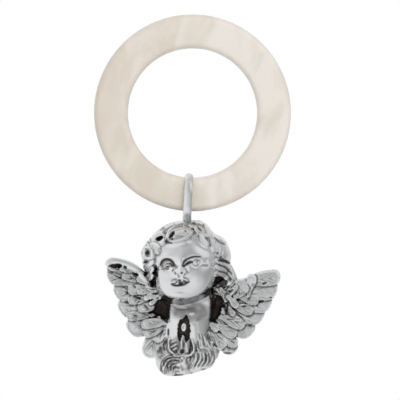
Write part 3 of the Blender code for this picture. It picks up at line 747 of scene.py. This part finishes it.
# Graver's lines, with their half width, depth and blackness: eyes, nose and mouth
FACE_CUTS = (
    (((-0.6, -42.4), (0.3, -41.1), (1.6, -40.3), (2.8, -39.95), (4.4, -39.9)), 0.44, 0.35, 1.0),
    (((-0.5, -42.7), (0.2, -42.5)), 0.6, 0.3, 1.0),
    (((0.3, -42.3), (1.2, -41.7), (2.2, -41.4)), 0.55, 0.35, 1.0),
    (((2.3, -41.2), (3.1, -40.8), (4.1, -41.0), (4.3, -41.6)), 0.2, 0.15, 0.85),
    (((3.5, -41.3),), 0.34, 0.15, 0.95), (((2.2, -41.9), (2.9, -42.3), (4.0, -42.0)), 0.18, 0.12, 0.7),
    # Painted shade at the right eye's outer corner
    (((4.9, -42.4), (5.9, -42.3), (6.5, -42.4)), 0.5, 0.12, 0.5),
    (((5.0, -41.2), (6.0, -41.3)), 0.3, 0.1, 0.35),
    (((2.2, -43.0), (3.3, -43.3), (4.6, -42.9)), 0.2, 0.08, 0.25),
    (((-6.7, -42.9), (-6.1, -41.6), (-4.9, -41.1), (-3.6, -41.5), (-2.7, -42.8)), 0.6, 0.35, 1.0),
    (((-6.1, -43.3), (-5.2, -42.3), (-4.0, -42.2), (-3.1, -42.9)), 0.45, 0.25, 0.95),
    (((-4.9, -43.1), (-4.4, -43.1)), 0.5, 0.2, 1.0), (((-3.6, -42.9), (-3.0, -42.8)), 0.55, 0.2, 0.95),
    (((-6.4, -44.0), (-5.4, -43.8), (-4.3, -43.8)), 0.3, 0.15, 0.8),
    (((-5.8, -44.2), (-5.2, -44.4)), 0.22, 0.1, 0.6), (((-2.6, -43.0), (-2.2, -43.4)), 0.3, 0.1, 0.5),
    (((-0.6, -44.6),), 0.48, 0.5, 1.0), (((-2.7, -44.3), (-2.2, -45.1)), 0.26, 0.3, 0.9),
    # Painted shadow down the right side of the nose
    (((0.3, -43.3), (0.8, -44.0), (0.8, -44.6)), 0.24, 0.15, 0.6),
    (((-1.6, -45.7), (-1.1, -45.8)), 0.28, 0.2, 0.8),
    (((-0.2, -45.7), (0.7, -46.0), (1.4, -46.6)), 0.22, 0.15, 0.8),
    (((-3.4, -47.8), (-2.2, -48.2), (-0.8, -48.0), (0.3, -47.6), (1.7, -46.9)), 0.46, 0.4, 1.0),
    (((-1.3, -46.6), (-0.9, -47.1)), 0.7, 0.35, 1.0), (((-1.2, -47.6), (0.6, -47.3)), 0.7, 0.35, 1.0),
    (((-3.5, -47.2), (-2.8, -46.5), (-1.9, -46.4)), 0.26, 0.1, 0.7),
    (((-0.8, -52.2), (-0.1, -52.2)), 0.42, 0.3, 1.0))
# The holes and deep lines between the curls
HAIR_CUTS = (
    (((-3.4, -33.4), (-4.0, -34.2), (-4.5, -35.1)), 0.55, 1.0, 1.0),
    (((-5.3, -35.3), (-5.0, -36.2), (-3.7, -36.6)), 0.36, 0.5, 1.0),
    (((-8.2, -35.7), (-7.3, -35.4), (-6.6, -35.0)), 0.6, 1.0, 1.0), (((-10.4, -39.7),), 0.85, 1.1, 1.0),
    (((-11.0, -38.7),), 0.4, 0.4, 0.9), (((-10.4, -36.8),), 0.45, 0.4, 0.8),
    (((-10.9, -37.6),), 0.35, 0.3, 0.7), (((-6.6, -32.6),), 0.5, 0.4, 0.8),
    (((-0.4, -32.8), (0.1, -33.2)), 0.34, 0.3, 0.85), (((-1.0, -34.5),), 0.3, 0.2, 0.7),
    (((-2.8, -34.5), (-1.2, -34.4)), 0.4, 0.2, 0.4), (((2.0, -30.7),), 0.65, 0.3, 0.75),
    (((3.1, -31.7), (4.2, -32.7)), 0.34, 0.4, 0.9), (((4.5, -30.8), (4.9, -31.6)), 0.36, 0.3, 0.8),
    (((5.3, -33.0),), 0.4, 0.2, 0.6), (((7.8, -34.3), (9.5, -35.7), (11.0, -36.3)), 0.32, 0.4, 0.8),
    (((8.8, -38.4), (9.1, -38.9)), 0.45, 0.5, 1.0),
    (((9.4, -40.6), (11.0, -40.9), (12.6, -41.4)), 0.6, 0.7, 1.0),
    (((9.4, -41.8), (11.4, -42.6), (13.4, -44.5)), 0.38, 0.5, 1.0),
    (((9.6, -43.7), (11.6, -44.2), (13.0, -45.6)), 0.38, 0.5, 0.9),
    (((-11.2, -42.4), (-10.4, -42.0)), 0.75, 0.8, 1.0),
    (((-9.9, -45.0), (-10.6, -46.0)), 0.5, 0.6, 1.0),
    (((-8.0, -43.0), (-8.2, -46.0), (-8.6, -48.4)), 0.4, 0.6, 1.0),
    (((-9.3, -47.4), (-8.6, -48.8)), 0.8, 0.5, 1.0), (((10.2, -46.2), (12.0, -46.8)), 0.5, 0.4, 0.8))
# The folds of the breast and the strands of its feathers
BODY_CUTS = (
    (((-5.6, -57.6), (-4.6, -58.2), (-3.9, -58.7)), 0.4, 0.4, 1.0),
    (((-3.2, -53.6), (-0.8, -54.7), (1.0, -54.6), (3.4, -54.0)), 0.32, 0.15, 0.35),
    (((-1.4, -54.8), (0.8, -54.8)), 0.5, 0.2, 0.6),
    (((2.2, -56.6), (3.4, -56.8), (4.4, -56.4)), 0.3, 0.1, 0.35),
    (((-3.6, -60.5), (-3.5, -62.4)), 0.3, 0.4, 1.0),
    (((2.6, -62.8), (2.9, -64.6), (2.6, -67.0)), 0.3, 0.4, 1.0),
    (((0.9, -63.6), (0.9, -66.0)), 0.26, 0.3, 0.8), (((-0.3, -63.6), (-0.4, -66.4)), 0.3, 0.3, 0.9),
    (((0.7, -69.2),), 0.36, 0.3, 1.0), (((-0.7, -73.5), (1.3, -73.4)), 0.4, 0.3, 1.0),
    (((2.0, -68.4), (2.2, -70.2)), 0.4, 0.3, 0.7), (((2.9, -69.0), (2.7, -71.6)), 0.55, 0.2, 0.6),
    (((3.1, -67.9), (3.0, -69.2)), 0.3, 0.4, 1.0), (((4.3, -67.6), (4.0, -69.4)), 0.28, 0.4, 1.0),
    (((5.3, -66.8), (5.2, -68.8), (4.3, -70.5)), 0.28, 0.35, 0.9),
    (((6.1, -66.8), (6.3, -68.6), (5.2, -70.6)), 0.24, 0.3, 0.8),
    (((7.1, -66.8), (7.3, -69.0), (6.3, -70.6)), 0.26, 0.3, 0.85),
    (((8.1, -66.8), (8.5, -68.4), (8.3, -69.4)), 0.26, 0.3, 0.7),
    (((9.0, -66.0), (9.4, -67.4)), 0.24, 0.3, 0.7), (((6.3, -71.4), (7.3, -71.3)), 0.24, 0.2, 0.7),
    (((4.8, -63.4), (5.2, -65.6)), 0.3, 0.3, 0.9), (((6.1, -62.4), (7.2, -65.2)), 0.24, 0.25, 0.6),
    (((7.4, -62.0), (8.2, -64.4)), 0.26, 0.25, 0.7), (((5.8, -65.7), (7.6, -65.9)), 0.3, 0.2, 0.6),
    (((-4.3, -71.0), (-4.3, -69.8), (-3.2, -68.8), (-2.2, -68.5)), 0.3, 0.4, 0.95),
    (((-3.3, -71.6), (-3.2, -70.2), (-2.0, -69.3)), 0.3, 0.4, 0.95),
    (((-2.4, -72.2), (-2.3, -70.9), (-1.3, -70.1)), 0.28, 0.35, 0.9),
    (((-1.6, -71.8), (-0.8, -71.2), (0.0, -71.7)), 0.24, 0.3, 0.8),
    (((-1.1, -72.7), (-0.3, -72.3), (0.3, -72.6)), 0.22, 0.25, 0.7),
    (((-5.3, -71.3), (-4.2, -72.5), (-2.8, -73.2)), 0.2, 0.15, 0.4),
    (((0.4, -70.4), (0.9, -71.6)), 0.24, 0.2, 0.6),
    (((-4.2, -63.8), (-4.6, -65.4), (-4.2, -66.6)), 0.36, 0.4, 0.9),
    (((-5.6, -62.6), (-4.8, -60.0)), 0.26, 0.3, 0.7), (((-5.4, -65.6), (-5.7, -67.0)), 0.5, 0.3, 0.9),
    (((-2.6, -63.4), (-2.8, -64.8), (-2.1, -66.1), (-0.8, -67.1)), 0.25, 0.3, 0.95),
    (((-3.8, -63.4), (-4.0, -64.9), (-3.3, -66.9), (-1.5, -68.4)), 0.25, 0.3, 0.9),
    (((2.7, -63.6), (3.2, -65.5), (2.5, -66.9), (1.5, -67.3)), 0.25, 0.3, 0.95),
    (((4.4, -64.2), (4.5, -66.0), (3.8, -67.8), (2.2, -68.5)), 0.25, 0.3, 0.9))
# Black hollows with their edge, depth and blackness: beside the neck, in the breast, at the left eye,
# below the right locks and at the tip of the left wing
PITS = (
    (((-7.4, -53.4), (-5.5, -52.7), (-4.0, -55.0), (-3.7, -57.3), (-5.0, -57.0),
      (-7.6, -56.8)), 1.0, 1.0),
    (((9.3, -50.6), (11.0, -51.2), (11.0, -54.0), (9.8, -57.0), (7.9, -58.0), (8.3, -55.0),
      (9.0, -52.0)), 1.0, 1.0),
    (((1.3, -56.2), (1.9, -57.6), (2.5, -59.4), (2.6, -61.6), (2.2, -63.3), (1.3, -63.8),
      (1.0, -62.4), (0.3, -62.3), (-0.3, -63.6), (-0.9, -61.8), (-0.9, -59.4), (-0.5, -57.9),
      (0.4, -57.3)), 0.9, 1.0),
    (((-1.2, -63.6), (-2.7, -64.4), (-2.9, -65.8), (-1.9, -66.9), (-0.9, -67.3),
      (-0.7, -65.4)), 0.5, 0.85),
    (((0.1, -66.2), (1.4, -66.2), (1.3, -67.2), (0.3, -67.5)), 0.4, 0.95),
    (((-6.7, -42.8), (-5.8, -41.4), (-4.4, -41.2), (-3.0, -42.2), (-2.8, -43.0), (-4.2, -43.6),
      (-5.4, -44.1)), 0.1, 0.62),
    (((10.1, -46.3), (11.4, -46.4), (12.3, -47.3), (11.2, -48.2), (10.3, -47.6)), 0.6, 0.85),
    (((-21.2, -43.8), (-19.4, -43.4), (-17.8, -43.2), (-17.9, -43.8), (-19.4, -44.2),
      (-21.0, -44.2)), 0.6, 1.0))
# Deep places between the feathers
WING_CUTS = (
    (((-20.9, -43.9), (-19.4, -43.7), (-17.6, -43.6)), 0.5, 0.5, 1.0),
    (((-16.8, -43.8), (-16.2, -44.4)), 0.45, 0.5, 0.95),
    (((-21.6, -44.7), (-20.6, -45.4), (-19.0, -45.6)), 0.3, 0.3, 1.0),
    (((-14.3, -45.4), (-13.7, -46.1)), 0.4, 0.4, 1.0),
    (((-13.0, -52.2), (-11.6, -52.6)), 0.55, 0.4, 1.0),
    (((-14.0, -48.9), (-13.2, -49.6)), 0.45, 0.3, 0.9),
    (((-10.6, -54.2), (-9.4, -55.4)), 0.5, 0.3, 0.9), (((22.0, -46.7), (23.2, -46.2)), 0.4, 0.4, 1.0),
    (((24.2, -50.4), (24.9, -50.3)), 0.35, 0.3, 1.0), (((21.4, -51.5), (22.5, -51.4)), 0.42, 0.3, 1.0),
    (((16.5, -53.3), (17.8, -53.1)), 0.42, 0.3, 1.0), (((14.0, -63.1), (15.1, -63.5)), 0.32, 0.3, 1.0),
    (((12.6, -52.8), (12.4, -55.6)), 0.6, 0.4, 1.0), (((15.2, -55.0), (17.8, -57.6)), 0.35, 0.3, 0.9),
    (((18.4, -58.2), (20.0, -58.3)), 0.36, 0.3, 0.95), (((9.2, -64.0), (10.3, -64.9)), 0.5, 0.4, 1.0),
    (((13.0, -49.4), (13.8, -48.6)), 0.45, 0.3, 0.9), (((11.4, -66.6), (14.4, -66.4)), 0.34, 0.3, 0.9))
# Strands of the two lobes: arcs round the foot of the left one, a fan down the right one and a
# shorter fan above it
for radius in (0.7, 1.3, 1.9, 2.5, 3.1, 3.7, 4.3):
    angles = np.radians(np.linspace(75, 205, 6))
    arc = np.stack([-1.0 + radius * np.cos(angles), -72.0 + radius * np.sin(angles)], 1)
    cut(arc + chance.uniform(-0.28, 0.28, arc.shape), 0.2, 0.3, 0.9)
for share in np.linspace(0, 1, 10):
    fan = np.array([(3.4 + 5.4 * share, -65.4), (4.0 + 5.6 * share, -67.4), (3.7 + 5.6 * share, -69.3),
                    (2.6 + 5.4 * share, -71.3 + 0.8 * share)])
    cut(fan + chance.uniform(-0.26, 0.26, fan.shape), 0.17, 0.3, 0.75)
for share in np.linspace(0, 1, 5):
    fan = [(5.0 + 3.2 * share, -61.2 - 0.5 * share), (5.6 + 3.4 * share, -63.2),
           (5.8 + 3.6 * share, -65.0)]
    cut(fan, 0.18, 0.25, 0.8)
# Face, hair and wings are cut with a finer graver than the body
GRAVER_FINE = 0.75
for points, half_width, depth, dark in FACE_CUTS + HAIR_CUTS + WING_CUTS:
    cut(points, half_width * GRAVER_FINE, depth, dark)
for points, half_width, depth, dark in BODY_CUTS:
    cut(points, half_width, depth, dark)
for points, depth, dark in PITS:
    pit(points, depth, dark)
# Polished tops, with half width and rise: lids, lips, folds of the breast and strands between the cuts
RIDGES = (
    (((0.2, -41.8), (1.3, -40.95), (2.8, -40.35), (4.2, -40.5)), 0.2, 0.25),
    (((2.0, -42.4), (3.2, -42.8), (4.7, -42.2)), 0.2, 0.25),
    (((-5.9, -43.0), (-5.2, -42.1), (-4.0, -41.9)), 0.15, 0.2),
    (((-5.8, -43.5), (-5.2, -42.8), (-4.2, -42.7)), 0.15, 0.2),
    (((-3.3, -47.3), (-2.4, -47.0), (-1.7, -46.9)), 0.24, 0.2),
    (((0.1, -46.2), (0.7, -46.4), (1.3, -46.8)), 0.2, 0.2), (((-1.5, -47.0), (-1.2, -46.9)), 0.16, 0.2),
    (((3.5, -58.8), (3.8, -61.0), (4.0, -63.8)), 0.55, 0.3),
    (((-3.1, -62.6), (-3.4, -64.7), (-2.7, -66.5), (-1.0, -67.8)), 0.34, 0.7),
    (((0.2, -62.6), (0.5, -66.0)), 0.26, 0.5), (((1.5, -64.0), (2.2, -67.0)), 0.3, 0.45),
    (((3.0, -62.8), (3.9, -65.6), (3.2, -67.4), (1.5, -67.9)), 0.36, 0.7),
    (((-2.7, -64.6), (-1.2, -63.6)), 0.2, 0.3), (((-2.8, -65.8), (-0.9, -64.5)), 0.2, 0.3),
    (((-2.2, -66.6), (-0.9, -65.7)), 0.2, 0.3), (((0.2, -68.2), (1.2, -68.6)), 0.5, 0.5),
    (((4.6, -66.4), (4.4, -68.6), (3.6, -70.2)), 0.24, 0.35),
    (((5.7, -66.4), (5.8, -68.6), (4.7, -70.6)), 0.22, 0.3),
    (((6.6, -66.4), (6.8, -68.8), (5.7, -70.9)), 0.22, 0.3),
    (((7.6, -66.4), (7.9, -68.8), (7.2, -70.6)), 0.22, 0.3), (((5.6, -62.8), (6.3, -65.2)), 0.24, 0.3),
    (((6.6, -61.8), (7.6, -64.6)), 0.24, 0.25))
for points, half_width, rise in RIDGES:
    ridge(points, half_width, rise)
# The drop on the breast with a line down it, the lips and two small beads
BEADS = (
    ((0.75, -59.8), (0.95, 1.5), 1.2, 0), ((2.7, -55.9), (0.7, 0.4), 0.25, 0),
    ((-2.5, -47.25), (0.72, 0.42), 0.4, 16), ((0.55, -46.55), (0.85, 0.3), 0.4, -26),
    ((0.15, -47.35), (0.3, 0.18), 0.2, 15), ((0.7, -68.5), (0.7, 0.5), 0.4, 0))
for centre, half, rise, turn in BEADS:
    bead(centre, half, rise, turn)
cut([(0.45, -59.3), (0.6, -60.4)], 0.22, 0.2, 0.6)

# The struck sheet: softened by the die, held down towards its edge, and dark in its hollows and where
# shade is painted
height = blurred(height, 0.1) + 0.04 * drift
inset = np.clip(cover, 0, None)
limit = EDGE_HEIGHT + EDGE_STEEPNESS * np.sqrt(inset * (inset + EDGE_REACH))
height = np.where(cover > 0, np.clip(np.minimum(height, limit), LEAST_HEIGHT, FRONT_SEAM - FRONT_LOW.y), 0)
recess = 0.35 * step_up(blurred(height, 0.45) - height, 0.15, 0.6) * (cover > 0.25)
recess = np.maximum(recess * (1 - step_up(face, 0.5, 3)), blurred(np.clip(oxide_and_shade, 0, 1), 0.06))


def relief_mesh(name, level, seam, out, shade, material):
    """A closed shell from a height map: the relief, its edge, a flat rim and the hollow inside."""
    kept = cover > 0
    cells = kept[:-1, :-1] & kept[1:, :-1] & kept[:-1, 1:] & kept[1:, 1:]
    touched = np.zeros(kept.shape, int)
    for rows in (slice(0, -1), slice(1, None)):
        for cols in (slice(0, -1), slice(1, None)):
            touched[rows, cols] += cells
    used = touched > 0
    rim = used & (touched < 4)
    # Points on the rim are moved out onto the outline itself
    slope_z, slope_x = np.gradient(blurred(np.maximum(cover, -1), 0.12), DIE_STEP)
    reach = np.clip(cover, 0, DIE_STEP) / np.clip(np.hypot(slope_x, slope_z), 0.5, None) ** 2
    point_x = np.where(rim, X - reach * slope_x, X)[used]
    point_z = np.clip(np.where(rim, Z - reach * slope_z, Z)[used], FRONT_LOW.z, FRONT_HIGH.z)
    outer = seam + out * np.where(rim, EDGE_HEIGHT, level)[used]
    low = level
    # The hollow follows the lowest relief within five cells all round
    for shift in ((5, 0), (-5, 0), (0, 5), (0, -5), (3, 3), (-3, -3), (3, -3), (-3, 3)):
        low = np.minimum(low, np.roll(level, shift, (0, 1)))
    low = np.where(cover > RIM_WIDTH, np.maximum(blurred(low, 0.4) - WALL, 0.1), 0)
    inner = seam + out * low[used]
    # One quad for each cell, for the relief and, turned over, for the hollow
    number = np.cumsum(used.ravel()).reshape(used.shape) - 1
    row, col = np.nonzero(cells)
    quads = np.stack([number[row, col], number[row, col + 1], number[row + 1, col + 1],
                      number[row + 1, col]], 1)
    quads = quads if out < 0 else quads[:, ::-1]
    # A side that belongs to one quad alone lies on the rim, and a wall there closes the shell
    count = int(used.sum())
    sides = np.concatenate([quads[:, (k, (k + 1) % 4)] for k in range(4)])
    codes = np.sort(sides, 1) @ [count, 1]
    found, counts = np.unique(codes, return_counts=True)
    once = np.isin(codes, found[counts == 1])
    first, second = sides[once].T
    walls = np.stack([second, first, first + count, second + count], 1)
    faces = np.concatenate([quads, quads[:, ::-1] + count, walls])
    outside, inside = [np.stack([point_x, depth, point_z], 1) for depth in (outer, inner)]
    points = np.concatenate([outside, inside]) * MM
    mesh = bpy.data.meshes.new(name)
    mesh.from_pydata(points.tolist(), [], faces.tolist())
    recess_values = mesh.attributes.new("recess", "FLOAT", "POINT")
    recess_values.data.foreach_set("value", np.tile(shade[used], 2).astype(np.float32))
    mesh.shade_smooth()
    mesh.set_sharp_from_angle(angle=SHARP_ANGLE)
    mesh.materials.append(material)
    piece = bpy.data.objects.new(name, mesh)
    bpy.context.collection.objects.link(piece)
    return piece


# Struck silver: bright on the high places, with black oxide left in the hollows and painted shade under
# the feathers, locks and chin
struck_silver = silver_material("struck_silver_with_oxide_and_shade", polish=0.15, oxidised_and_shaded=True)
front = relief_mesh("front_shell_finish", height, FRONT_SEAM, -1, recess, struck_silver)
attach(front, "cherub")
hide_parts("front_shell")

# Back shell: the plain half that closes the hollow, raised from flat sheet and polished; level behind
# the head and breast, thin behind the wings. The picture doesn't show it.
BACK_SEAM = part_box("back_shell")[0].y / MM
BACK_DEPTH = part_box("back_shell")[1].y / MM - BACK_SEAM
BACK_WING_DEPTH = 1.5
# The back would swell further, and is cut level at its depth
BACK_SWELL = BACK_DEPTH * 1.7
back_level = np.maximum(dome((0.2, -41.7), (12.2, 11.8), BACK_SWELL),
                        dome((0.8, -60.2), (9.9, 12.9), BACK_SWELL))
back_level = np.clip(blurred(np.clip(back_level, BACK_WING_DEPTH, BACK_DEPTH), 0.5), 0, BACK_DEPTH)
back_level = np.where(cover > 0, np.minimum(back_level, limit), 0)
# Polished silver sheet: plain and even, worn a little softer than the front
plain_silver = silver_material("polished_silver_sheet", polish=0.26, oxidised_and_shaded=False)
back = relief_mesh("back_shell_finish", back_level, BACK_SEAM, 1, 0 * recess, plain_silver)
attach(back, "cherub")
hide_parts("back_shell")

# Rattle balls: five steel shot, bought in and put into the hollow before the shells were soldered.
# Nothing holds them, and the solid's own shape is already theirs.
BALL_COUNT = 5
# Steel shot: a grey mirror, a little soft
shot, tree, shader = new_material("steel_shot")
shader.inputs["Base Color"].default_value = linear("#B9BBBD")
shader.inputs["Metallic"].default_value = 1.0
shader.inputs["Roughness"].default_value = 0.3
for index in range(1, BALL_COUNT + 1):
    ball = bpy.data.objects[f"rattle_ball_{index}"]
    for slot in ball.material_slots:
        slot.material = shot
